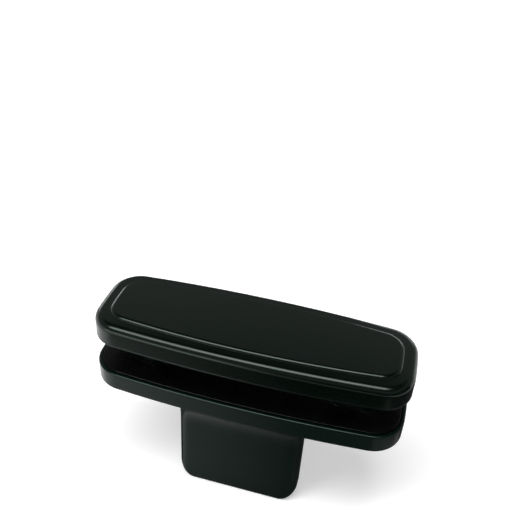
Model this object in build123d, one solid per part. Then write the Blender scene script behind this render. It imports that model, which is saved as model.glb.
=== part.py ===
from build123d import *
import math
import os

# Clamp-on window latch for a sliding pane: an outer cover and an inner plate grip the glass between two
# slotted pads, and two screws near the ends pull the halves together. The finger paddle is moulded in one
# piece with the inner plate. Millimetres. X runs along the latch, Y across it, Z out through the glass to
# the cover. The origin is the middle of the inner pad's face, where the glass rests.

# Glass and pads
glass_gap = 8.2
closing_travel = 3.0
pad_thickness = 1.0
pad_proud = 0.2
pad_edge_clearance = 0.15

# Slots in the pads, and the collars that stand in them
slot_length = 14.4
slot_width = 10.9
slot_end_flat = 1.9
collar_clearance = 0.3
collar_below_pad = 0.1

# Outer cover
cover_length = 80.0
cover_width = 26.3
cover_side_bow = 2.05
cover_end_bow = 0.75
cover_corner_radius = 7.7
cover_height = 6.2
cover_top_round = 1.95
cover_rim_round = 0.3

# Raised panel on the cover
panel_rim_at_side = 3.05
panel_rim_at_end = 3.3
panel_side_bow = 2.3
panel_end_bow = 0.85
panel_corner_radius = 5.6
panel_rise = 0.55
panel_edge_round = 1.2
panel_root_depth = 1.6

# Inner plate, which stands out past the cover's sides and a little inside its ends
plate_side_step = 0.75
plate_end_setback = 0.1
plate_side_bow = 2.0
plate_end_bow = 0.8
plate_corner_radius = 8.1
plate_height = 5.1
plate_rim_round = 0.4
plate_bottom_round = 0.3
lip_width = 1.0

# Finger paddle
paddle_to_screw = 10.3
paddle_height = 30.0
paddle_thickness = 8.0
paddle_setback = 2.9
paddle_edge_round = 3.0
paddle_corner_radius = 4.65
flare_drop = 7.9
flare_edge_margin = 0.7

# Ribbed hollows behind the pads
core_columns = 5
core_rows = 3
core_rib = 1.6
core_side_wall = 3.0
core_corner_radius = 0.9
cover_skin = 2.4
plate_skin = 2.0

# Screws, inserts and posts
screw_to_end = 13.2
screw_diameter = 5.0
screw_length = 10.0
screw_tip_chamfer = 0.5
screw_hole_clearance = 0.1
head_diameter = 9.5
head_height = 2.7
head_rim = 0.7
head_crown_diameter = 5.4
head_clearance = 0.4
head_below_plate = 0.3
socket_across_flats = 3.0
socket_depth = 1.6
post_diameter = 10.0
post_end_clearance = 1.1
post_mouth_chamfer = 0.5
insert_diameter = 7.0
insert_length = 7.0
insert_recess = 0.2
insert_waist_depth = 0.35
insert_waist_length = 1.4
insert_chamfer = 0.3
insert_seat_clearance = 0.02
thread_clearance = 0.05
tip_hole_clearance = 0.3
tip_end_clearance = 1.6

# Lengths and widths that follow from those sizes
plate_length = cover_length - 2 * plate_end_setback
plate_width = cover_width + 2 * plate_side_step
screw_spacing = cover_length - 2 * screw_to_end
paddle_width = screw_spacing - 2 * paddle_to_screw

# Heights that follow from those sizes
seat_depth = pad_thickness - pad_proud
plate_top = -pad_proud
plate_bottom = plate_top - plate_height
plate_seat = plate_top - seat_depth
cover_bottom = glass_gap + pad_proud
cover_top = cover_bottom + cover_height
cover_seat = cover_bottom + seat_depth
paddle_bottom = plate_bottom - paddle_height
screw_shoulder = plate_bottom + head_below_plate + head_height
screw_tip = screw_shoulder + screw_length
collar_top = plate_seat + pad_thickness - collar_below_pad
post_end = collar_top + closing_travel + post_end_clearance
insert_end = post_end + insert_recess
tip_hole_top = screw_tip + closing_travel + tip_end_clearance

# Directions from a pad's seat into the half that holds it
INTO_PLATE = -1
INTO_COVER = 1


def mirrored(point, sign_x, sign_y):
    return (sign_x * point.X, sign_y * point.Y)


def bowed_oblong(length, width, side_bow, end_bow, corner_radius, inset=0.0):
    """Oblong whose sides and ends all bulge, with corner arcs tangent to both, drawn inset all round."""
    half_length = length / 2
    half_width = width / 2
    side_radius = (half_length**2 + side_bow**2) / (2 * side_bow)
    end_radius = (half_width**2 + end_bow**2) / (2 * end_bow)
    side_centre = Vector(0, half_width - side_radius)
    end_centre = Vector(half_length - end_radius, 0)

    # The corner's centre lies a corner radius inside both arcs
    to_end = end_centre - side_centre
    from_side = side_radius - corner_radius
    from_end = end_radius - corner_radius
    along = (from_side**2 - from_end**2 + to_end.length**2) / (2 * to_end.length)
    across = math.sqrt(from_side**2 - along**2)
    forward = to_end.normalized()
    outward = Vector(forward.Y, -forward.X)
    corner_centre = side_centre + forward * along + outward * across

    toward_side = (corner_centre - side_centre).normalized()
    toward_end = (corner_centre - end_centre).normalized()
    side_tangent = side_centre + toward_side * (side_radius - inset)
    end_tangent = end_centre + toward_end * (end_radius - inset)
    corner_middle = corner_centre + (toward_side + toward_end).normalized() * (corner_radius - inset)

    arcs = []
    for sign in (-1, 1):
        arcs.append(
            ThreePointArc(
                mirrored(side_tangent, -1, sign),
                (0, sign * (half_width - inset)),
                mirrored(side_tangent, 1, sign),
            )
        )
        arcs.append(
            ThreePointArc(
                mirrored(end_tangent, sign, -1),
                (sign * (half_length - inset), 0),
                mirrored(end_tangent, sign, 1),
            )
        )
        for sign_y in (-1, 1):
            arcs.append(
                ThreePointArc(
                    mirrored(side_tangent, sign, sign_y),
                    mirrored(corner_middle, sign, sign_y),
                    mirrored(end_tangent, sign, sign_y),
                )
            )
    return make_face(arcs)


def cover_outline(inset=0.0):
    return bowed_oblong(
        cover_length, cover_width, cover_side_bow, cover_end_bow, cover_corner_radius, inset
    )


def plate_outline(inset=0.0):
    return bowed_oblong(
        plate_length, plate_width, plate_side_bow, plate_end_bow, plate_corner_radius, inset
    )


def panel_outline():
    return bowed_oblong(
        cover_length - 2 * panel_rim_at_end,
        cover_width - 2 * panel_rim_at_side,
        panel_side_bow,
        panel_end_bow,
        panel_corner_radius,
    )


def slot_outline(clearance=0.0):
    """Slot of a pad, or with a clearance the collar that stands inside it."""
    corner = (slot_width - slot_end_flat) / 2 - clearance
    return RectangleRounded(slot_length - 2 * clearance, slot_width - 2 * clearance, corner)


def at_screw(side):
    return Pos(side * screw_spacing / 2, 0, 0)


def raised_from(outline, height, amount):
    return extrude(Pos(0, 0, height) * outline, amount=amount)


def upright(radius, low, high):
    """Round bar along Z between two heights."""
    return Pos(0, 0, low) * Cylinder(
        radius, high - low, align=(Align.CENTER, Align.CENTER, Align.MIN)
    )


def collars(seat, into):
    """Low collars round both screws, which the slots of the pad drop over."""
    height = pad_thickness - collar_below_pad
    outline = slot_outline(collar_clearance)
    return [at_screw(side) * raised_from(outline, seat, -into * height) for side in (-1, 1)]


def core_pockets(seat, depth, into):
    """Grid of shallow hollows between the collars, which leaves ribs behind the pad."""
    field_length = screw_spacing - slot_length - 2 * core_rib
    field_width = cover_width - 2 * (lip_width + core_side_wall)
    pocket_length = (field_length - (core_columns - 1) * core_rib) / core_columns
    pocket_width = (field_width - (core_rows - 1) * core_rib) / core_rows
    pocket = RectangleRounded(pocket_length, pocket_width, core_corner_radius)
    spots = GridLocations(
        pocket_length + core_rib, pocket_width + core_rib, core_columns, core_rows
    )
    return [spot * raised_from(pocket, seat, into * depth) for spot in spots]


def glass_pad(outline, seat, into):
    """Flat slotted pad that fills the seat inside a half's lip."""
    pad = raised_from(outline(lip_width + pad_edge_clearance), seat, -into * pad_thickness)
    for side in (-1, 1):
        pad -= at_screw(side) * raised_from(slot_outline(), seat, -into * pad_thickness)
    return pad


def cover_shell():
    """Cover's outside: rounded top edge and a panel that rises from the rim on a soft shoulder."""
    shell = raised_from(cover_outline(), cover_bottom, cover_height)
    shell = fillet(shell.edges().group_by(Axis.Z)[-1], cover_top_round)
    shell = fillet(shell.edges().group_by(Axis.Z)[0], cover_rim_round)
    panel = raised_from(
        panel_outline(), cover_top - panel_root_depth, panel_root_depth + panel_rise
    )
    panel = fillet(panel.edges().group_by(Axis.Z)[-1], panel_edge_round)
    return shell + panel


def post_hole():
    """Stepped blind hole up a post: a mouth, the insert's seat and room for the screw's tip."""
    seat_radius = insert_diameter / 2 + insert_seat_clearance
    tip_radius = screw_diameter / 2 + tip_hole_clearance
    insert_top = insert_end + insert_length
    mouth = Pos(0, 0, post_end) * Cone(
        seat_radius + post_mouth_chamfer,
        seat_radius,
        post_mouth_chamfer,
        align=(Align.CENTER, Align.CENTER, Align.MIN),
    )
    seat = upright(seat_radius, post_end, insert_top)
    return mouth + seat + upright(tip_radius, insert_top, tip_hole_top)


def outer_cover():
    cover = cover_shell()
    cover -= raised_from(cover_outline(lip_width), cover_bottom, seat_depth)
    for pocket in core_pockets(cover_seat, cover_top - cover_skin - cover_seat, INTO_COVER):
        cover -= pocket
    for collar in collars(cover_seat, INTO_COVER):
        cover += collar
    for side in (-1, 1):
        cover += at_screw(side) * upright(post_diameter / 2, post_end, cover_seat)
        cover -= at_screw(side) * post_hole()
    return cover


def paddle_slab():
    """Paddle with rounded upright edges; both its faces sweep outward where they meet the plate."""
    near = -plate_width / 2 + paddle_setback
    far = near + paddle_thickness
    flare_reach = paddle_setback - flare_edge_margin
    flare_start = plate_bottom - flare_drop
    near_face = Line((near, paddle_bottom), (near, flare_start))
    near_flare = TangentArc((near, flare_start), (near - flare_reach, plate_bottom), tangent=(0, 1))
    root = Line((near - flare_reach, plate_bottom), (far + flare_reach, plate_bottom))
    far_flare = TangentArc((far, flare_start), (far + flare_reach, plate_bottom), tangent=(0, 1))
    far_face = Line((far, flare_start), (far, paddle_bottom))
    bottom = Line((far, paddle_bottom), (near, paddle_bottom))
    side_view = make_face([near_face, near_flare, root, far_flare, far_face, bottom])
    slab = extrude(Plane.YZ * side_view, amount=paddle_width / 2, both=True)
    upright_edges = [
        edge
        for end in (slab.faces().sort_by(Axis.X)[0], slab.faces().sort_by(Axis.X)[-1])
        for edge in end.edges()
        if edge.bounding_box().size.Z > flare_drop / 2
    ]
    return fillet(upright_edges, paddle_edge_round)


def paddle():
    """Finger paddle: the slab with round lower corners, as seen from the front."""
    face_height = plate_bottom - paddle_bottom
    front_view = Rectangle(paddle_width, face_height, align=(Align.CENTER, Align.MIN))
    low_corners = front_view.vertices().group_by(Axis.Y)[0]
    front_view = fillet(low_corners, paddle_corner_radius)
    standing = Plane.XZ * (Pos(0, paddle_bottom, 0) * front_view)
    return paddle_slab() & extrude(standing, amount=plate_width, both=True)


def screw_passage():
    """Hole down through the inner half, with a counterbore that hides the head."""
    shank = upright(screw_diameter / 2 + screw_hole_clearance, plate_bottom, 0)
    head = upright(head_diameter / 2 + head_clearance, plate_bottom, screw_shoulder)
    return shank + head


def inner_plate():
    plate = raised_from(plate_outline(), plate_bottom, plate_height)
    plate = fillet(plate.edges().group_by(Axis.Z)[-1], plate_rim_round)
    plate = fillet(plate.edges().group_by(Axis.Z)[0], plate_bottom_round)
    plate -= raised_from(plate_outline(lip_width), plate_top, -seat_depth)
    for pocket in core_pockets(plate_seat, plate_seat - plate_bottom - plate_skin, INTO_PLATE):
        plate -= pocket
    for collar in collars(plate_seat, INTO_PLATE):
        plate += collar
    for side in (-1, 1):
        plate -= at_screw(side) * screw_passage()
    return plate + paddle()


def clamp_screw(side):
    """Low domed machine screw with a hex socket, its head down in the inner half."""
    shoulder = screw_shoulder
    shank_radius = screw_diameter / 2
    crown = shoulder - head_height
    outline = [
        Line((0, crown), (head_crown_diameter / 2, crown)),
        RadiusArc(
            (head_crown_diameter / 2, crown),
            (head_diameter / 2, shoulder - head_rim),
            -head_height - screw_diameter / 2,
        ),
        Polyline(
            (head_diameter / 2, shoulder - head_rim),
            (head_diameter / 2, shoulder),
            (shank_radius, shoulder),
            (shank_radius, screw_tip - screw_tip_chamfer),
            (shank_radius - screw_tip_chamfer, screw_tip),
            (0, screw_tip),
            (0, crown),
        ),
    ]
    screw = revolve(Plane.XZ * make_face(outline), Axis.Z)
    socket = RegularPolygon(socket_across_flats / 2, 6, major_radius=False)
    screw -= raised_from(socket, crown, socket_depth)
    return at_screw(side) * screw


def threaded_insert(side):
    """Brass bush with two grip bands, a waist between them and a plain bore at the thread's size."""
    outer = insert_diameter / 2
    waist = outer - insert_waist_depth
    bore = screw_diameter / 2 + thread_clearance
    low = insert_end
    high = insert_end + insert_length
    middle = (low + high) / 2
    half_waist = insert_waist_length / 2
    section = Polyline(
        (bore, low),
        (outer - insert_chamfer, low),
        (outer, low + insert_chamfer),
        (outer, middle - half_waist - insert_waist_depth),
        (waist, middle - half_waist),
        (waist, middle + half_waist),
        (outer, middle + half_waist + insert_waist_depth),
        (outer, high - insert_chamfer),
        (outer - insert_chamfer, high),
        (bore, high),
        close=True,
    )
    return at_screw(side) * revolve(Plane.XZ * make_face(section), Axis.Z)


def build_parts():
    """Every piece of the latch, by name."""
    return {
        "inner_plate": inner_plate(),
        "inner_gasket": glass_pad(plate_outline, plate_seat, INTO_PLATE),
        "outer_cover": outer_cover(),
        "outer_gasket": glass_pad(cover_outline, cover_seat, INTO_COVER),
        "insert_left": threaded_insert(-1),
        "insert_right": threaded_insert(1),
        "clamp_screw_left": clamp_screw(-1),
        "clamp_screw_right": clamp_screw(1),
    }


os.makedirs("parts", exist_ok=True)
for name, piece in build_parts().items():
    export_step(piece, f"parts/{name}.step")
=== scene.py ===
import math

import bmesh
import bpy
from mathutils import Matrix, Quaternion, Vector


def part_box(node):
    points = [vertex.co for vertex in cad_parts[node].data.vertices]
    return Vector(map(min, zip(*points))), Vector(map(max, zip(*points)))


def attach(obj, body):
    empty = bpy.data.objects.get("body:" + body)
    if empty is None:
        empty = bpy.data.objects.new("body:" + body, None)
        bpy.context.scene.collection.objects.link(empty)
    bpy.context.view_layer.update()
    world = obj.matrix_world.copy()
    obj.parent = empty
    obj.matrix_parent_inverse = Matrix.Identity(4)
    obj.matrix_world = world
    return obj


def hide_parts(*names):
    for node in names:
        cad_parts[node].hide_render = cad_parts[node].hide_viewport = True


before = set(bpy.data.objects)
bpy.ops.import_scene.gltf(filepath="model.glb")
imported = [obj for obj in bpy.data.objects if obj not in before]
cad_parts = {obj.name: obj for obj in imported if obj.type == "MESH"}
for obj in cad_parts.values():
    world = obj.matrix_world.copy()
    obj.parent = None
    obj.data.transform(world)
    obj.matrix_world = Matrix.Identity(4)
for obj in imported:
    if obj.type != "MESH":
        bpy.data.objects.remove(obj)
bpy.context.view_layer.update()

# Clamp-on window latch in black satin plastic. Sizes are in millimetres, in the frame of the solid parts:
# X along the latch, Y across it, Z out through the glass to the cover. Meshes are written in metres.
MM = 0.001
SIDES = {"left": -1, "right": 1}

# Places taken from the solid parts
cover_low, cover_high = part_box("outer_cover")
plate_low, plate_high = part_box("inner_plate")
inner_pad_low, inner_pad_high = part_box("inner_gasket")
outer_pad_low, outer_pad_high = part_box("outer_gasket")
screw_low, screw_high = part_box("clamp_screw_right")

# Outer cover
cover_length = (cover_high.x - cover_low.x) / MM
cover_width = (cover_high.y - cover_low.y) / MM
cover_side_bow = 2.05
cover_end_bow = 0.75
cover_corner_radius = 7.7
cover_top_round = 1.95
cover_rim_round = 0.3
parting_step = 0.04
parting_height = 0.5
panel_rise = 0.55
panel_edge_round = 1.2
panel_foot_round = 0.02
rim_fall = 0.12
panel_rim_at_side = 3.05
panel_rim_at_end = 3.3
panel_side_bow = 2.3
panel_end_bow = 0.85
panel_corner_radius = 5.6
panel_top = cover_high.z / MM
cover_top = panel_top - panel_rise

# Inner plate
plate_length = (plate_high.x - plate_low.x) / MM
plate_width = (plate_high.y - plate_low.y) / MM
plate_side_bow = 2.0
plate_end_bow = 0.8
plate_corner_radius = 8.1
plate_height = 5.1
plate_rim_round = 0.4
plate_bottom_round = 0.3
paddle_bottom = plate_low.z / MM

# Seats for the pads
pad_proud = 0.2
pad_edge_round = 0.12
pad_edge_clearance = 0.15
lip_width = 1.0
lip_edge_round = 0.15
plate_seat = inner_pad_low.z / MM
plate_top = inner_pad_high.z / MM - pad_proud
plate_bottom = plate_top - plate_height
cover_seat = outer_pad_high.z / MM
cover_bottom = outer_pad_low.z / MM + pad_proud
pad_thickness = (inner_pad_high.z - inner_pad_low.z) / MM

# Slots and collars
slot_length = 14.4
slot_width = 10.9
slot_end_flat = 1.9
collar_clearance = 0.3
collar_below_pad = 0.1
collar_edge_round = 0.15

# Finger paddle
paddle_half_width = 16.5
paddle_thickness = 8.0
paddle_near = plate_low.y / MM + 2.9
paddle_far = paddle_near + paddle_thickness
paddle_corner_radius = 4.65
paddle_side_round = 3.0
paddle_bottom_round = 0.5
flare_drop = 7.9
flare_reach = 2.2

# Screws
screw_x = (screw_high.x + screw_low.x) / 2 / MM
screw_crown = screw_low.z / MM
screw_tip = screw_high.z / MM
screw_diameter = 5.0
tip_chamfer = 0.5
thread_pitch = 0.8
thread_depth = 0.42
thread_groove_share = 0.42
thread_start = 1.0
thread_fade = 1.2
thread_runout = 0.4
head_diameter = 9.5
head_height = 2.7
head_rim = 0.7
head_crown_diameter = 5.4
head_edge_round = 0.15
head_seat_gap = 0.01
dome_bulge = 0.35
dome_lean = 0.7
socket_across_flats = 3.0
socket_depth = 1.6
socket_chamfer = 0.12

# Holes, posts and inserts
screw_hole_radius = 2.6
head_hole_radius = 5.15
hole_edge_round = 0.2
post_radius = 5.0
post_end = 4.0
post_edge_round = 0.2
post_mouth_chamfer = 0.5
insert_hole_radius = 3.52
insert_top = 11.2
tip_hole_radius = 2.8
tip_hole_top = 12.3

# Mesh fineness. A straight run longer than LONG_RUN gets a point HOLD away from each of its ends.
SIDE_STEPS = 30
CORNER_STEPS = 18
END_STEPS = 12
ROUND_STEPS = 72
FILLET_STEPS = 10
SMALL_FILLET_STEPS = 4
PADDLE_SIDE_ROWS = 26
PADDLE_CORNER_ROWS = 14
PADDLE_COLUMNS = 20
DOME_STEPS = 8
SOCKET_STEPS = 6
STEPS_PER_PITCH = 12
HOLD = 0.06
LONG_RUN = 0.6

# Colours and roughnesses, each as the two ends that a surface drifts between
COVER_COLOURS = ((0.0005, 0.0026, 0.0014), (0.0009, 0.0034, 0.0020))
PLATE_COLOURS = ((0.0005, 0.0048, 0.0030), (0.0009, 0.0062, 0.0040))
RUBBER_COLOURS = ((0.0008, 0.0010, 0.0010), (0.0014, 0.0018, 0.0017))
STEEL_COLOURS = ((0.36, 0.36, 0.37), (0.46, 0.46, 0.47))
BRASS_COLOURS = ((0.62, 0.45, 0.2), (0.72, 0.54, 0.26))
PLASTIC_ROUGHNESS = (0.16, 0.22)
RUBBER_ROUGHNESS = (0.22, 0.3)
STEEL_ROUGHNESS = (0.3, 0.45)
BRASS_ROUGHNESS = (0.28, 0.42)

# Gloss, its green cast, the depth in metres of all fine relief, the squeeze that turns noise into rings round
# an upright axis, and the range that noise stays within
PLASTIC_GLOSS = 0.3
PLASTIC_CAST = (0.84, 1.0, 0.90, 1)
RUBBER_GLOSS = 0.2
RELIEF_DEPTH = 0.00001
RING_STRETCH = (0.05, 0.05, 8)
NOISE_RANGE = (0.3, 0.7)

# Camera of the photograph
CAMERA_PLACE = (0.02701, -0.12173, 0.12436)
CAMERA_TURN = (54.26, -3.31, 14.88)
CAMERA_LENS = 46.61
CAMERA_SENSOR = 36.0
CAMERA_NEAR_CLIP = 0.01

# Floor, in metres. Its glow grows from the first level to the second between the two distances.
FLOOR_SIZE = 6.0
FLOOR_GLOW = (0.4, 1.0)
FLOOR_GLOW_REACH = (0.2, 0.7)

# Ceiling's brightness against the upward part of a direction, 0 at the horizon and 1 overhead
CEILING_STOPS = (
    (0.12, 1.0),
    (0.38, 0.3),
    (0.56, 0.34),
    (0.635, 0.5),
    (0.68, 0.3),
    (0.73, 0.14),
    (0.8, 0.0),
)

# Dark cards, painted shade that only the latch's reflections show: name, size and middle in millimetres, the
# share of its length over which the card darkens, how dark it is at its left end and past that stretch, and
# the heading it stands along, None where it lies level
card_level = paddle_bottom + 0.5
card_height = 150
standing_level = paddle_bottom + card_height / 2
REFLECTION_SHADE_CARDS = (
    ("card_near", (124, 38), (-18, -29, card_level), 0.76, 0.14, 0.92, None),
    ("card_corner", (22, 60), (55, -18, card_level), 0.2, 0.78, 0.78, None),
    ("card_front", (190, 112), (15, -104, card_level), 0.47, 0.68, 1.0, None),
    ("card_right", (64, 108), (98, 6, card_level), 0.2, 0.95, 0.97, None),
    ("card_under", (84, 22), (2, 1, card_level), 0.2, 0.9, 0.95, None),
    ("card_behind", (106, 48), (13, 36, card_level), 0.2, 0.9, 0.95, None),
    ("card_back", (270, 190), (-110, 155, card_level), 0.1, 0.85, 0.9, None),
    ("card_front_standing", (460, card_height), (170, -250, standing_level), 0.13, 0.0, 0.97, 0),
    ("card_back_standing", (270, card_height), (-110, 250, standing_level), 0.1, 0.85, 0.85, 0),
    ("card_right_standing", (310, card_height), (250, -95, standing_level), 0.2, 0.95, 0.95, 90),
)

# Lamps: name, place, aim and size in metres, radiance, and roll in degrees about the lamp's own axis
LAMPS = (
    ("high_front", (-0.28, -0.33, 1.12), (-0.28, -0.3, 0), (1.3, 0.42), 7.0, 30),
    ("low_front", (-0.85, -1.3, 0.03), (0, 0, 0), (1.2, 0.16), 5.0, 0),
    ("low_back", (0.32, 1.3, 0.45), (0, 0, 0), (0.5, 0.25), 3.0, 0),
    ("left_back", (-1.0, 0.95, 0.25), (0, 0, 0), (0.5, 0.4), 2.0, 0),
)


def direction(angle):
    """Unit vector at an angle from +Y towards +X."""
    return Vector((math.sin(angle), math.cos(angle), 0))


def bowed_oblong(length, width, side_bow, end_bow, corner_radius):
    """Points and outward directions round an oblong with bulging sides and ends and tangent corner arcs."""
    half_length = length / 2
    half_width = width / 2
    side_radius = (half_length**2 + side_bow**2) / (2 * side_bow)
    end_radius = (half_width**2 + end_bow**2) / (2 * end_bow)
    side_centre = Vector((0, half_width - side_radius, 0))
    end_centre = Vector((half_length - end_radius, 0, 0))
    gap = end_centre - side_centre
    from_side = side_radius - corner_radius
    from_end = end_radius - corner_radius
    along = (from_side**2 - from_end**2 + gap.length**2) / (2 * gap.length)
    across = math.sqrt(from_side**2 - along**2)
    forward = gap.normalized()
    corner_centre = side_centre + forward * along + Vector((forward.y, -forward.x, 0)) * across
    to_side = corner_centre - side_centre
    to_end = corner_centre - end_centre
    side_angle = math.atan2(to_side.x, to_side.y)
    end_angle = math.atan2(to_end.x, to_end.y)
    runs = (
        (end_centre, end_radius, math.pi / 2, end_angle, END_STEPS),
        (corner_centre, corner_radius, end_angle, side_angle, CORNER_STEPS),
        (side_centre, side_radius, side_angle, 0.0, SIDE_STEPS),
    )
    first = []
    for centre, radius, start, stop, steps in runs:
        for i in range(steps):
            outward = direction(start + (stop - start) * i / steps)
            first.append((centre + outward * radius, outward))
    middle = (Vector((0, half_width, 0)), direction(0))
    second = [flipped(pair, -1, 1) for pair in reversed(first)]
    half = first + [middle] + second
    return half + [flipped(pair, 1, -1) for pair in reversed(half[1:-1])]


def flipped(pair, sign_x, sign_y):
    return tuple(Vector((sign_x * v.x, sign_y * v.y, 0)) for v in pair)


def cover_outline():
    return bowed_oblong(
        cover_length, cover_width, cover_side_bow, cover_end_bow, cover_corner_radius
    )


def panel_outline():
    return bowed_oblong(
        cover_length - 2 * panel_rim_at_end,
        cover_width - 2 * panel_rim_at_side,
        panel_side_bow,
        panel_end_bow,
        panel_corner_radius,
    )


def plate_outline():
    return bowed_oblong(
        plate_length, plate_width, plate_side_bow, plate_end_bow, plate_corner_radius
    )


def inset_outline(outline, amount):
    return [(point - outward * amount, outward) for point, outward in outline]


def slot_oblong(centre_x, clearance=0.0):
    """Points and outward directions round a pad's slot, or round a collar with a clearance in it."""
    corner_radius = (slot_width - slot_end_flat) / 2 - clearance
    half_length = (slot_length - 2 * clearance) / 2
    half_width = (slot_width - 2 * clearance) / 2
    quarter = math.pi / 2
    pairs = []
    for corner, (sign_x, sign_y) in enumerate(((1, 1), (-1, 1), (-1, -1), (1, -1))):
        x = centre_x + sign_x * (half_length - corner_radius)
        y = sign_y * (half_width - corner_radius)
        for i in range(CORNER_STEPS + 1):
            outward = direction(quarter - quarter * (corner + i / CORNER_STEPS))
            pairs.append((Vector((x, y, 0)) + outward * corner_radius, outward))
    return pairs


def circle(radius, centre_x=0.0):
    turn = 2 * math.pi
    outwards = [direction(turn / 4 - turn * i / ROUND_STEPS) for i in range(ROUND_STEPS)]
    return [(Vector((centre_x, 0, 0)) + outward * radius, outward) for outward in outwards]


def hexagon(across_flats):
    """Points and outward directions round a hexagon, evenly along its sides."""
    radius = across_flats / math.sqrt(3)
    corners = [direction(math.pi / 2 - math.pi / 3 * i) * radius for i in range(6)]
    pairs = []
    for i, corner in enumerate(corners):
        after = corners[(i + 1) % 6]
        for step in range(SOCKET_STEPS):
            place = corner.lerp(after, step / SOCKET_STEPS)
            pairs.append((place, place.normalized()))
    return pairs


def fillet(centre, radius, start, stop, steps=SMALL_FILLET_STEPS):
    """Profile points on an arc. Inset grows to the right, height upward, and angles are in degrees."""
    points = []
    for i in range(steps + 1):
        angle = math.radians(start + (stop - start) * i / steps)
        points.append((centre[0] + radius * math.cos(angle), centre[1] + radius * math.sin(angle)))
    return points


def held(profile):
    """Adds a point near both ends of each long straight run, so that flats stay flat when smooth."""
    points = [profile[0]]
    for before, after in zip(profile, profile[1:]):
        run = math.dist(before, after)
        if run > LONG_RUN:
            share = HOLD / run
            for part in (share, 1 - share):
                points.append(tuple(a + (b - a) * part for a, b in zip(before, after)))
        points.append(after)
    return points


def add_loop(mesh, outline, inset, height):
    return [
        mesh.verts.new((point - outward * inset + Vector((0, 0, height))) * MM)
        for point, outward in outline
    ]


def bridge(mesh, first, second):
    """Band of faces between two closed loops."""
    count = len(first)
    for i in range(count):
        after = (i + 1) % count
        mesh.faces.new((first[i], first[after], second[after], second[i]))


def add_grid(mesh, rows):
    """Faces between neighbouring open rows."""
    for first, second in zip(rows, rows[1:]):
        for i in range(len(first) - 1):
            mesh.faces.new((first[i], first[i + 1], second[i + 1], second[i]))


def sweep(mesh, outline, profile):
    """Skin that follows an outline, with a section of inset and height. Returns its first and last loops."""
    loops = [add_loop(mesh, outline, inset, height) for inset, height in held(profile)]
    for first, second in zip(loops, loops[1:]):
        bridge(mesh, first, second)
    return loops[0], loops[-1]


def flat(mesh, *loops):
    """Flat face between an outer loop and any loops inside it."""
    edges = []
    for loop in loops:
        for i, vert in enumerate(loop):
            after = loop[(i + 1) % len(loop)]
            edges.append(mesh.edges.get((vert, after)) or mesh.edges.new((vert, after)))
    bmesh.ops.triangle_fill(mesh, use_beauty=True, use_dissolve=False, edges=edges)


def finish_piece(name, mesh, body, nodes, material, place=(0, 0, 0)):
    """Turns mesh code into a piece that rides on a body and stands for solid parts."""
    bmesh.ops.recalc_face_normals(mesh, faces=mesh.faces)
    data = bpy.data.meshes.new(name)
    mesh.to_mesh(data)
    mesh.free()
    data.shade_smooth()
    data.materials.append(material)
    piece = bpy.data.objects.new(name, data)
    bpy.context.scene.collection.objects.link(piece)
    piece.location = place
    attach(piece, body)
    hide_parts(*nodes)


def collar_profile(seat, into):
    """Collar's wall from the pad's seat to its rounded end. Into is +1 in the cover and -1 in the plate."""
    end = seat - into * (pad_thickness - collar_below_pad)
    centre = (collar_edge_round, end + into * collar_edge_round)
    points = [(-HOLD, seat), (0, seat)]
    points += fillet(centre, collar_edge_round, 180, 180 + into * 90)
    return points + [(collar_edge_round + HOLD, end)]


def cover_profile():
    """Cover's section from the pad's seat, round the lip, up the side and over the top to the panel."""
    top = cover_top - rim_fall
    lip_centre = (lip_width - lip_edge_round, cover_bottom + lip_edge_round)
    points = [(lip_width + HOLD, cover_seat), (lip_width, cover_seat)]
    points += fillet(lip_centre, lip_edge_round, 0, -90)
    points += fillet((cover_rim_round, cover_bottom + cover_rim_round), cover_rim_round, 270, 180)
    parting = cover_bottom + parting_height
    points += [(0, parting), (parting_step, parting + parting_step)]
    side_inset = parting_step + cover_top_round
    points += fillet((side_inset, top - cover_top_round), cover_top_round, 180, 90, FILLET_STEPS)
    return points


def panel_profile():
    """Panel's section: inset from the panel's own outline, from its crisp foot to its flat top."""
    round_centre = (panel_edge_round, panel_top - panel_edge_round)
    foot_height = cover_top + panel_foot_round
    reach = panel_edge_round + panel_foot_round
    drop = foot_height - round_centre[1]
    lean = math.degrees(math.asin(drop / reach))
    foot_inset = panel_edge_round - reach * math.cos(math.radians(lean))
    foot = fillet((foot_inset, foot_height), panel_foot_round, 270, 360 + lean)
    edge = fillet(round_centre, panel_edge_round, 180 - lean, 90, FILLET_STEPS)
    start = [(foot_inset - HOLD, cover_top)]
    return start + foot + edge[1:] + [(panel_edge_round + HOLD, panel_top)]


def post_profile(collar_end):
    """Post's section from its collar down to its end, and up the stepped hole for insert and screw tip."""
    insert_hole = post_radius - insert_hole_radius
    tip_hole = post_radius - tip_hole_radius
    points = [(-HOLD, collar_end), (0, collar_end)]
    points += fillet((post_edge_round, post_end + post_edge_round), post_edge_round, 180, 270)
    return points + [
        (insert_hole - post_mouth_chamfer, post_end),
        (insert_hole, post_end + post_mouth_chamfer),
        (insert_hole, insert_top),
        (tip_hole, insert_top),
        (tip_hole, tip_hole_top),
    ]


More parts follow.
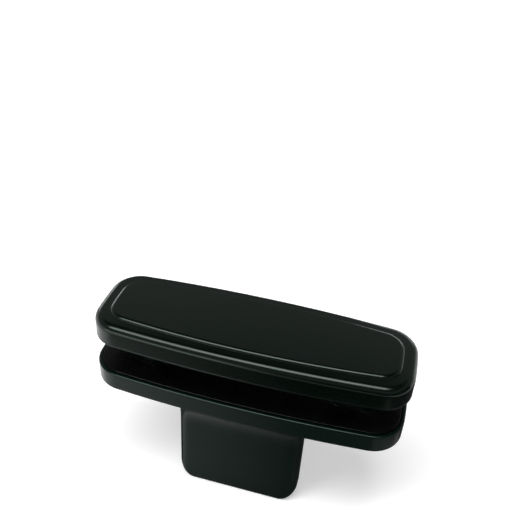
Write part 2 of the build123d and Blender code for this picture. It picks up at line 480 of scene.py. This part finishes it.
def build_cover(material):
    """Outer moulding with its raised panel, the pad's seat, and two collars that carry the posts."""
    mesh = bmesh.new()
    outline = cover_outline()
    seat_loop, rim_loop = sweep(mesh, outline, cover_profile())
    rim_hold = add_loop(mesh, outline, cover_top_round + 2 * HOLD, cover_top - rim_fall)
    bridge(mesh, rim_loop, rim_hold)
    foot_loop, panel_loop = sweep(mesh, panel_outline(), panel_profile())
    bridge(mesh, rim_hold, foot_loop)
    flat(mesh, panel_loop)
    seat_loops = [seat_loop]
    collar_end = cover_seat - pad_thickness + collar_below_pad
    for side in SIDES.values():
        collar = slot_oblong(side * screw_x, collar_clearance)
        base, end = sweep(mesh, collar, collar_profile(cover_seat, 1))
        seat_loops.append(base)
        post = circle(post_radius, side * screw_x)
        post_base, hole_end = sweep(mesh, post, post_profile(collar_end))
        flat(mesh, end, post_base)
        flat(mesh, hole_end)
    flat(mesh, *seat_loops)
    finish_piece(
        "cover_moulding", mesh, "outer_half", ["outer_cover"], material
    )


def plate_profile():
    """Plate's section from the pad's seat, over the lip, down the side and round to the underside."""
    lip_centre = (lip_width - lip_edge_round, plate_top - lip_edge_round)
    bottom_centre = (plate_bottom_round, plate_bottom + plate_bottom_round)
    points = [(lip_width + HOLD, plate_seat), (lip_width, plate_seat)]
    points += fillet(lip_centre, lip_edge_round, 0, 90)
    points += fillet((plate_rim_round, plate_top - plate_rim_round), plate_rim_round, 90, 180)
    points += fillet(bottom_centre, plate_bottom_round, 180, 270)
    return points + [(plate_bottom_round + HOLD, plate_bottom)]


def passage_profile(collar_end):
    """Hole's section from a collar's end down to the counterbore that hides the screw's head."""
    shoulder = screw_crown + head_height
    step = screw_hole_radius - head_hole_radius
    mouth = hole_edge_round
    points = [(-mouth - HOLD, collar_end)]
    points += fillet((-mouth, collar_end - mouth), mouth, 90, 0)
    points += [(0, shoulder), (step, shoulder)]
    points += fillet((step - mouth, plate_bottom + mouth), mouth, 0, -90)
    return points + [(step - mouth - HOLD, plate_bottom)]


def flare(height):
    """How far the paddle's faces stand out at a height, where they sweep into the plate's underside."""
    rise = height - (plate_bottom - flare_drop)
    if rise <= 0:
        return 0.0
    radius = (flare_drop**2 + flare_reach**2) / (2 * flare_reach)
    return radius - math.sqrt(radius**2 - rise**2)


def paddle_side():
    """Left edge of the paddle, from its top to its bottom: place, inward direction and edge rounding."""
    corner_top = paddle_bottom + paddle_corner_radius
    stations = []
    for i in range(PADDLE_SIDE_ROWS):
        height = plate_bottom + (corner_top - plate_bottom) * i / PADDLE_SIDE_ROWS
        place = Vector((-paddle_half_width, 0, height))
        stations.append((place, Vector((1, 0, 0)), paddle_side_round))
    centre = Vector((-paddle_half_width + paddle_corner_radius, 0, corner_top))
    for i in range(PADDLE_CORNER_ROWS + 1):
        share = i / PADDLE_CORNER_ROWS
        inward = Vector((math.cos(share * math.pi / 2), 0, math.sin(share * math.pi / 2)))
        ease = share * share * (3 - 2 * share)
        rounding = paddle_side_round + (paddle_bottom_round - paddle_side_round) * ease
        stations.append((centre - inward * paddle_corner_radius, inward, rounding))
    return stations


def paddle_columns():
    inner_half = paddle_half_width - paddle_corner_radius
    return [inner_half * (2 * i / PADDLE_COLUMNS - 1) for i in range(PADDLE_COLUMNS + 1)]


def paddle_stations(left, columns):
    """Stations down the left edge, along the bottom and up the right edge."""
    right = [
        (Vector((-p.x, 0, p.z)), Vector((-n.x, 0, n.z)), rounding) for p, n, rounding in left
    ]
    bottom = [
        (Vector((x, 0, paddle_bottom)), Vector((0, 0, 1)), paddle_bottom_round)
        for x in columns[1:-1]
    ]
    return left + bottom + right[::-1]


def paddle_wall(place, inward, rounding):
    """Points across the paddle's edge from its near face to its far face."""
    near = paddle_near - flare(place.z)
    far = paddle_far + flare(place.z)
    points = []
    for i in range(FILLET_STEPS + 1):
        angle = math.pi / 2 * i / FILLET_STEPS
        inset = rounding * (1 - math.sin(angle))
        points.append((inset, near + rounding * (1 - math.cos(angle))))
    points += [(0, near + rounding + HOLD), (0, far - rounding - HOLD)]
    for i in range(FILLET_STEPS + 1):
        angle = math.pi / 2 * (1 - i / FILLET_STEPS)
        inset = rounding * (1 - math.sin(angle))
        points.append((inset, far - rounding * (1 - math.cos(angle))))
    return [place + inward * inset + Vector((0, y - place.y, 0)) for inset, y in points]


def paddle_face(mesh, walls, rows, columns, end):
    """Near face, at end 0 of the walls, or far face, at end -1. Returns its top row."""
    grid = []
    for row in range(rows - 1):
        start = walls[row][end]
        stop = walls[-1 - row][end]
        between = [
            mesh.verts.new(start.co.lerp(stop.co, i / (columns - 1)))
            for i in range(1, columns - 1)
        ]
        grid.append([start] + between + [stop])
    grid.append([wall[end] for wall in walls[rows - 1 : rows - 1 + columns]])
    add_grid(mesh, grid)
    return grid[0]


def add_paddle(mesh):
    """Paddle without its top face. Returns the loop where it meets the plate's underside."""
    left = paddle_side()
    columns = paddle_columns()
    walls = [
        [mesh.verts.new(point * MM) for point in paddle_wall(*station)]
        for station in paddle_stations(left, columns)
    ]
    add_grid(mesh, walls)
    near_row = paddle_face(mesh, walls, len(left), len(columns), 0)
    far_row = paddle_face(mesh, walls, len(left), len(columns), -1)
    return near_row + walls[-1][1:-1] + far_row[::-1] + walls[0][1:-1][::-1]


def build_plate(material):
    """Inner moulding with the pad's seat, two collars with their screw holes, and the finger paddle."""
    mesh = bmesh.new()
    seat_loop, under_loop = sweep(mesh, plate_outline(), plate_profile())
    seat_loops = [seat_loop]
    under_loops = [under_loop]
    collar_end = plate_seat + pad_thickness - collar_below_pad
    for side in SIDES.values():
        collar = slot_oblong(side * screw_x, collar_clearance)
        base, end = sweep(mesh, collar, collar_profile(plate_seat, -1))
        seat_loops.append(base)
        hole = circle(screw_hole_radius, side * screw_x)
        hole_top, hole_bottom = sweep(mesh, hole, passage_profile(collar_end))
        flat(mesh, end, hole_top)
        under_loops.append(hole_bottom)
    flat(mesh, *seat_loops)
    under_loops.append(add_paddle(mesh))
    flat(mesh, *under_loops)
    finish_piece(
        "plate_and_paddle", mesh, "inner_half", ["inner_plate"], material
    )


def pad_profile(low, high):
    edge = pad_edge_round
    points = [(edge + HOLD, low)]
    points += fillet((edge, low + edge), edge, 270, 180)
    points += fillet((edge, high - edge), edge, 180, 90)
    return points + [(edge + HOLD, high)]


def slot_profile(low, high):
    edge = pad_edge_round
    points = [(-edge - HOLD, low)]
    points += fillet((-edge, low + edge), edge, -90, 0)
    points += fillet((-edge, high - edge), edge, 0, 90)
    return points + [(-edge - HOLD, high)]


def build_pad(name, node, body, outline, low, high, material):
    """Slotted pad cut from sheet, its edges a little rounded."""
    mesh = bmesh.new()
    skins = [sweep(mesh, outline, pad_profile(low, high))]
    for side in SIDES.values():
        skins.append(sweep(mesh, slot_oblong(side * screw_x), slot_profile(low, high)))
    lows, highs = zip(*skins)
    flat(mesh, *lows)
    flat(mesh, *highs)
    finish_piece(name, mesh, body, [node], material)


def build_pads(material):
    """Both pads, each a little inside the lip of its own half."""
    pads = (
        ("inner_pad", "inner_gasket", "inner_half", plate_outline(), inner_pad_low, inner_pad_high),
        ("outer_pad", "outer_gasket", "outer_half", cover_outline(), outer_pad_low, outer_pad_high),
    )
    for name, node, body, rim, low, high in pads:
        outline = inset_outline(rim, lip_width + pad_edge_clearance)
        build_pad(name, node, body, outline, low.z / MM, high.z / MM, material)


def head_profile(shoulder):
    """Screw head's section from its crown, over the dome and the rim to the shank."""
    head_radius = head_diameter / 2
    crown_radius = head_crown_diameter / 2
    rim_low = shoulder - head_rim
    edge = head_edge_round
    points = [(head_radius - crown_radius + HOLD, screw_crown)]
    for i in range(DOME_STEPS):
        share = i / DOME_STEPS
        radius = crown_radius + (head_radius - crown_radius) * share
        height = screw_crown + (rim_low - screw_crown) * share
        bulge = dome_bulge * math.sin(math.pi * share) * dome_lean
        points.append((head_radius - radius - bulge, height - bulge))
    points.append((0, rim_low))
    points += fillet((edge, shoulder - edge), edge, 180, 90)
    return points + [(head_radius - screw_diameter / 2, shoulder)]


def socket_profile():
    return [
        (-socket_chamfer - HOLD, screw_crown),
        (-socket_chamfer, screw_crown),
        (0, screw_crown + socket_chamfer),
        (0, screw_crown + socket_depth),
    ]


def add_head(mesh, shoulder):
    """Domed head with a hex socket. Returns the loop where the shank begins."""
    crown, shank = sweep(mesh, circle(head_diameter / 2), head_profile(shoulder))
    mouth, floor = sweep(mesh, hexagon(socket_across_flats), socket_profile())
    flat(mesh, crown, mouth)
    flat(mesh, floor)
    return shank


def thread_radius(height, angle, low, high):
    """Radius of the threaded shank, a 60 degree groove that fades out at both ends."""
    phase = (height / thread_pitch + angle / (2 * math.pi)) % 1.0
    groove = max(0.0, 1 - abs(phase - 0.5) / thread_groove_share)
    rise = max(0.0, (height - low) / thread_fade)
    fall = max(0.0, (high - height) / thread_runout)
    return screw_diameter / 2 - thread_depth * groove * min(1.0, rise, fall)


def add_shank(mesh, previous, start):
    """Shank with a right-hand thread, from the head's loop to the chamfered tip."""
    stop = screw_tip - tip_chamfer
    rows = int((stop - start) / thread_pitch * STEPS_PER_PITCH)
    for row in range(1, rows + 1):
        height = start + (stop - start) * row / rows
        loop = []
        for i in range(ROUND_STEPS):
            angle = 2 * math.pi * i / ROUND_STEPS
            radius = thread_radius(height, angle, start + thread_start, stop)
            outward = direction(math.pi / 2 - angle)
            loop.append(mesh.verts.new((outward * radius + Vector((0, 0, height))) * MM))
        bridge(mesh, previous, loop)
        previous = loop
    tip = add_loop(mesh, circle(screw_diameter / 2 - tip_chamfer), 0, screw_tip)
    bridge(mesh, previous, tip)
    flat(mesh, tip)


def build_screw(side_name, material):
    """Machine screw on its own axis, set at its end of the latch."""
    mesh = bmesh.new()
    shoulder = screw_crown + head_height - head_seat_gap
    add_shank(mesh, add_head(mesh, shoulder), shoulder)
    finish_piece(
        f"screw_{side_name}",
        mesh,
        f"{side_name}_screw",
        [f"clamp_screw_{side_name}"],
        material,
        place=(SIDES[side_name] * screw_x * MM, 0, 0),
    )


def new_material(name):
    """Returns a new material, its nodes, its links and its principled surface."""
    material = bpy.data.materials.new(name)
    material.use_nodes = True
    nodes = material.node_tree.nodes
    return material, nodes, material.node_tree.links, nodes["Principled BSDF"]


def noise(nodes, links, scale, detail, roughness, stretch=(1, 1, 1)):
    """Noise over the object's own coordinates, in cells per metre."""
    place = nodes.new("ShaderNodeTexCoord")
    turn = nodes.new("ShaderNodeMapping")
    turn.inputs["Scale"].default_value = stretch
    texture = nodes.new("ShaderNodeTexNoise")
    texture.inputs["Scale"].default_value = scale
    texture.inputs["Detail"].default_value = detail
    texture.inputs["Roughness"].default_value = roughness
    links.new(place.outputs["Object"], turn.inputs["Vector"])
    links.new(turn.outputs["Vector"], texture.inputs["Vector"])
    return texture.outputs["Fac"]


def spread(nodes, links, value, low, high, within=NOISE_RANGE):
    """Maps a value, held within a range, onto the range from low to high."""
    node = nodes.new("ShaderNodeMapRange")
    node.inputs["From Min"].default_value = within[0]
    node.inputs["From Max"].default_value = within[1]
    node.inputs["To Min"].default_value = low
    node.inputs["To Max"].default_value = high
    links.new(value, node.inputs["Value"])
    return node.outputs["Result"]


def tint(nodes, links, value, low_colour, high_colour):
    """Blends two colours by a noise value."""
    node = nodes.new("ShaderNodeMix")
    node.data_type = "RGBA"
    node.inputs["A"].default_value = (*low_colour, 1)
    node.inputs["B"].default_value = (*high_colour, 1)
    links.new(value, node.inputs["Factor"])
    return node.outputs["Result"]


def relief(nodes, links, value, strength):
    node = nodes.new("ShaderNodeBump")
    node.inputs["Distance"].default_value = RELIEF_DEPTH
    node.inputs["Strength"].default_value = strength
    links.new(value, node.inputs["Height"])
    return node.outputs["Normal"]


def plastic_material(name, colours):
    """Black moulding with a faint green cast, satin, with a fine etched grain and soft handling marks."""
    material, nodes, links, surface = new_material(name)
    cloud = noise(nodes, links, scale=60, detail=3, roughness=0.55)
    grain = noise(nodes, links, scale=5200, detail=2, roughness=0.6)
    links.new(tint(nodes, links, cloud, *colours), surface.inputs["Base Color"])
    links.new(spread(nodes, links, cloud, *PLASTIC_ROUGHNESS), surface.inputs["Roughness"])
    links.new(relief(nodes, links, grain, strength=0.25), surface.inputs["Normal"])
    surface.inputs["Specular IOR Level"].default_value = PLASTIC_GLOSS
    surface.inputs["Specular Tint"].default_value = PLASTIC_CAST
    return material


def rubber_material():
    """Matt dark sheet rubber with a fine dusty grain."""
    material, nodes, links, surface = new_material("dark_sheet_rubber")
    cloud = noise(nodes, links, scale=140, detail=4, roughness=0.6)
    grain = noise(nodes, links, scale=3800, detail=3, roughness=0.65)
    links.new(tint(nodes, links, cloud, *RUBBER_COLOURS), surface.inputs["Base Color"])
    links.new(spread(nodes, links, cloud, *RUBBER_ROUGHNESS), surface.inputs["Roughness"])
    links.new(relief(nodes, links, grain, strength=0.15), surface.inputs["Normal"])
    surface.inputs["Specular IOR Level"].default_value = RUBBER_GLOSS
    return material


def turned_metal(name, colours, roughness):
    """Turned metal, with fine rings round the piece's axis and an uneven polish."""
    material, nodes, links, surface = new_material(name)
    cloud = noise(nodes, links, scale=420, detail=3, roughness=0.5)
    rings = noise(nodes, links, scale=900, detail=2, roughness=0.5, stretch=RING_STRETCH)
    links.new(tint(nodes, links, cloud, *colours), surface.inputs["Base Color"])
    links.new(spread(nodes, links, rings, *roughness), surface.inputs["Roughness"])
    links.new(relief(nodes, links, rings, strength=0.2), surface.inputs["Normal"])
    surface.inputs["Metallic"].default_value = 1.0
    return material


def seen_directly(nodes, links):
    """1 for rays of the camera, of mirrors and through clear parts, 0 for the rest."""
    path = nodes.new("ShaderNodeLightPath")
    total = path.outputs["Is Camera Ray"]
    for ray in ("Is Glossy Ray", "Is Transmission Ray"):
        add = nodes.new("ShaderNodeMath")
        add.operation = "ADD"
        add.use_clamp = True
        links.new(total, add.inputs[0])
        links.new(path.outputs[ray], add.inputs[1])
        total = add.outputs["Value"]
    return total


def floor_material():
    """Pale floor that keeps the latch's shadow. Seen directly it glows white, more so far from the latch."""
    material, nodes, links, surface = new_material("pale_floor")
    surface.inputs["Base Color"].default_value = (0.8, 0.8, 0.8, 1)
    surface.inputs["Roughness"].default_value = 0.9
    surface.inputs["Specular IOR Level"].default_value = 0.0
    surface.inputs["Emission Color"].default_value = (1, 1, 1, 1)
    place = nodes.new("ShaderNodeNewGeometry")
    distance = nodes.new("ShaderNodeVectorMath")
    distance.operation = "LENGTH"
    links.new(place.outputs["Position"], distance.inputs[0])
    lift = spread(nodes, links, distance.outputs["Value"], *FLOOR_GLOW, FLOOR_GLOW_REACH)
    glow = nodes.new("ShaderNodeMath")
    glow.operation = "MULTIPLY"
    links.new(seen_directly(nodes, links), glow.inputs[0])
    links.new(lift, glow.inputs[1])
    links.new(glow.outputs["Value"], surface.inputs["Emission Strength"])
    return material


def reflection_shade_card_material(fade, left, right):
    """Card of painted shade for the latch's reflections. It darkens from its left edge to a distance along
    it, and is clear where it isn't dark.
    """
    material, nodes, links, surface = new_material("reflection_shade_card")
    nodes.remove(surface)
    place = nodes.new("ShaderNodeTexCoord")
    split = nodes.new("ShaderNodeSeparateXYZ")
    links.new(place.outputs["Object"], split.inputs["Vector"])
    clear = nodes.new("ShaderNodeBsdfTransparent")
    # Near-black diffuse: the painted shade that the latch's reflections pick up
    dark = nodes.new("ShaderNodeBsdfDiffuse")
    dark.inputs["Color"].default_value = (0.01, 0.01, 0.01, 1)
    mix = nodes.new("ShaderNodeMixShader")
    share = spread(nodes, links, split.outputs["X"], left, right, (-1.0, 2 * fade - 1.0))
    links.new(share, mix.inputs["Fac"])
    links.new(clear.outputs["BSDF"], mix.inputs[1])
    links.new(dark.outputs["BSDF"], mix.inputs[2])
    links.new(mix.outputs["Shader"], nodes["Material Output"].inputs["Surface"])
    return material


def flat_stage(name, size, place, material, heading=None):
    """Flat sheet of the studio, level or standing along a heading in degrees from +X."""
    mesh = bmesh.new()
    bmesh.ops.create_grid(mesh, x_segments=1, y_segments=1, size=1)
    data = bpy.data.meshes.new(name)
    mesh.to_mesh(data)
    mesh.free()
    data.materials.append(material)
    sheet = bpy.data.objects.new(name, data)
    sheet.scale = (size[0] / 2, size[1] / 2, 1)
    sheet.location = place
    if heading is not None:
        sheet.rotation_euler = (math.pi / 2, 0, math.radians(heading))
    bpy.context.scene.collection.objects.link(sheet)
    return sheet


def build_floor():
    flat_stage("floor", (FLOOR_SIZE, FLOOR_SIZE), (0, 0, plate_low.z), floor_material())


def build_reflection_shade_cards():
    """Cards by the latch that only its own reflections show, painted shade that blacks out the right of its
    near faces.
    """
    for name, size, place, fade, left, right, heading in REFLECTION_SHADE_CARDS:
        card = flat_stage(
            name,
            [side * MM for side in size],
            [part * MM for part in place],
            reflection_shade_card_material(fade, left, right),
            heading,
        )
        card.visible_camera = False
        card.visible_diffuse = False
        card.visible_shadow = False


def build_world():
    """White round the horizon, as a studio's backdrop, under a dim ceiling. The camera sees plain white."""
    world = bpy.data.worlds.new("studio")
    world.use_nodes = True
    nodes = world.node_tree.nodes
    links = world.node_tree.links
    back = nodes["Background"]
    back.inputs["Color"].default_value = (1, 1, 1, 1)
    place = nodes.new("ShaderNodeTexCoord")
    split = nodes.new("ShaderNodeSeparateXYZ")
    links.new(place.outputs["Generated"], split.inputs["Vector"])
    ceiling = nodes.new("ShaderNodeValToRGB")
    links.new(split.outputs["Z"], ceiling.inputs["Fac"])
    stops = ceiling.color_ramp.elements
    for i, (height, brightness) in enumerate(CEILING_STOPS):
        stop = stops[i] if i < 2 else stops.new(height)
        stop.position = height
        stop.color = (brightness, brightness, brightness, 1)
    path = nodes.new("ShaderNodeLightPath")
    level = nodes.new("ShaderNodeMath")
    level.operation = "MAXIMUM"
    links.new(path.outputs["Is Camera Ray"], level.inputs[0])
    links.new(ceiling.outputs["Color"], level.inputs[1])
    links.new(level.outputs["Value"], back.inputs["Strength"])
    bpy.context.scene.world = world


def add_lamp(name, place, aim, size, radiance, roll):
    """Rectangular soft lamp that faces a point. Without a roll its long side is level."""
    light = bpy.data.lights.new(name, "AREA")
    light.shape = "RECTANGLE"
    light.size, light.size_y = size
    light.energy = radiance * 4 * size[0] * size[1]
    lamp = bpy.data.objects.new(name, light)
    lamp.location = place
    toward = Vector(aim) - Vector(place)
    lamp.rotation_mode = "QUATERNION"
    roll_turn = Quaternion((0, 0, 1), math.radians(roll))
    lamp.rotation_quaternion = toward.to_track_quat("-Z", "Y") @ roll_turn
    lamp.visible_camera = False
    bpy.context.scene.collection.objects.link(lamp)


def build_lamps():
    for lamp in LAMPS:
        add_lamp(*lamp)


def build_camera():
    data = bpy.data.cameras.new("camera")
    data.lens = CAMERA_LENS
    data.sensor_width = CAMERA_SENSOR
    data.clip_start = CAMERA_NEAR_CLIP
    camera = bpy.data.objects.new("camera", data)
    camera.location = CAMERA_PLACE
    camera.rotation_euler = [math.radians(angle) for angle in CAMERA_TURN]
    bpy.context.scene.collection.objects.link(camera)
    bpy.context.scene.camera = camera
    bpy.context.scene.view_settings.view_transform = "Standard"


def build_latch():
    """Six pieces in mesh code, and a brass surface for the two inserts of the solid parts."""
    cover_plastic = plastic_material("cover_plastic", COVER_COLOURS)
    plate_plastic = plastic_material("plate_plastic", PLATE_COLOURS)
    rubber = rubber_material()
    steel = turned_metal("turned_steel", STEEL_COLOURS, STEEL_ROUGHNESS)
    brass = turned_metal("turned_brass", BRASS_COLOURS, BRASS_ROUGHNESS)
    build_cover(cover_plastic)
    build_plate(plate_plastic)
    build_pads(rubber)
    for side_name in SIDES:
        build_screw(side_name, steel)
        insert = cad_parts[f"insert_{side_name}"]
        insert.data.materials.clear()
        insert.data.materials.append(brass)


build_camera()
build_world()
build_floor()
build_reflection_shade_cards()
build_lamps()
build_latch()
